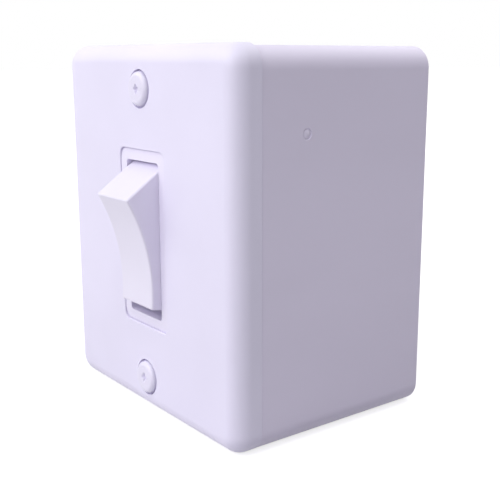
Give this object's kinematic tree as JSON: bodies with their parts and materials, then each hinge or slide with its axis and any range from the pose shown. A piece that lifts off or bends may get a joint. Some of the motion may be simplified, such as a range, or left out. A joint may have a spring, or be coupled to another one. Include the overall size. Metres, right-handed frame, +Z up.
{
  "type": "surface mounted light switch",
  "caption": "Surface mounted light switch: deep box with wall slots and cable entry, screwed front plate, and a long rocker that works a sprung plunger and see-saw contact.",
  "frame": {"origin": "centre of the box's flat back face, on the wall plane", "axes": "+X to the right seen from the front, +Y into the wall, +Z up"},
  "size_m": [0.0724, 0.0627, 0.086],
  "materials": {
    "plate_plastic": "smooth moulded white plastic with a faint lavender cast, satin sheen",
    "box_plastic": "smooth moulded white plastic, satin sheen, very fine spark texture",
    "housing_plastic": "smooth moulded white plastic, satin sheen",
    "rocker_plastic": "polished moulded white plastic",
    "screw_finish": "white enamelled steel screw",
    "insert_brass": "turned brass",
    "base_plastic": "matt moulded thermoset",
    "rivet_steel": "plain aluminium rivet",
    "plunger_nylon": "natural nylon",
    "spring_steel": "bright spring wire",
    "contact_copper": "stamped copper alloy strip",
    "contact_silver": "silver contact faces",
    "terminal_brass": "stamped and folded brass",
    "clamp_steel": "zinc-plated steel"
  },
  "bodies": {
    "fixed": {"back_box": "box_plastic", "front_plate": "plate_plastic", "cover_screws": "screw_finish", "threaded_inserts": "insert_brass", "switch_housing": "housing_plastic", "switch_base": "base_plastic", "housing_rivets": "rivet_steel", "common_terminal": "terminal_brass", "upper_way_terminal": "terminal_brass", "lower_way_terminal": "terminal_brass", "fixed_contacts": "contact_silver", "clamp_plates": "clamp_steel", "terminal_screws": "clamp_steel"},
    "rocker": {"rocker": "rocker_plastic", "plunger_spring": "spring_steel"},
    "plunger": {"plunger": "plunger_nylon"},
    "contact_arm": {"contact_arm": "contact_copper", "moving_contacts": "contact_silver"}
  },
  "joints": [
    {"name": "rocker_tilt", "type": "hinge", "parent": "fixed", "child": "rocker", "pos_m": [0, -0.05, -0.0008], "axis": [-1, 0, 0], "range_deg": [0, 24.6]},
    {"name": "plunger_slide", "type": "slide", "parent": "rocker", "child": "plunger", "axis": [0, -0.977, -0.213], "range_m": [0, 0.0015], "stiffness_N_per_m": 300, "springref_m": -0.003, "deforming": ["plunger_spring"]},
    {"name": "contact_rock", "type": "hinge", "parent": "fixed", "child": "contact_arm", "pos_m": [0, -0.0356, -0.0008], "axis": [1, 0, 0], "range_deg": [0, 12]}
  ],
  "couplings": [
    {"joint": "contact_rock", "follows": "rocker_tilt", "ratio": 0.4878}
  ]
}
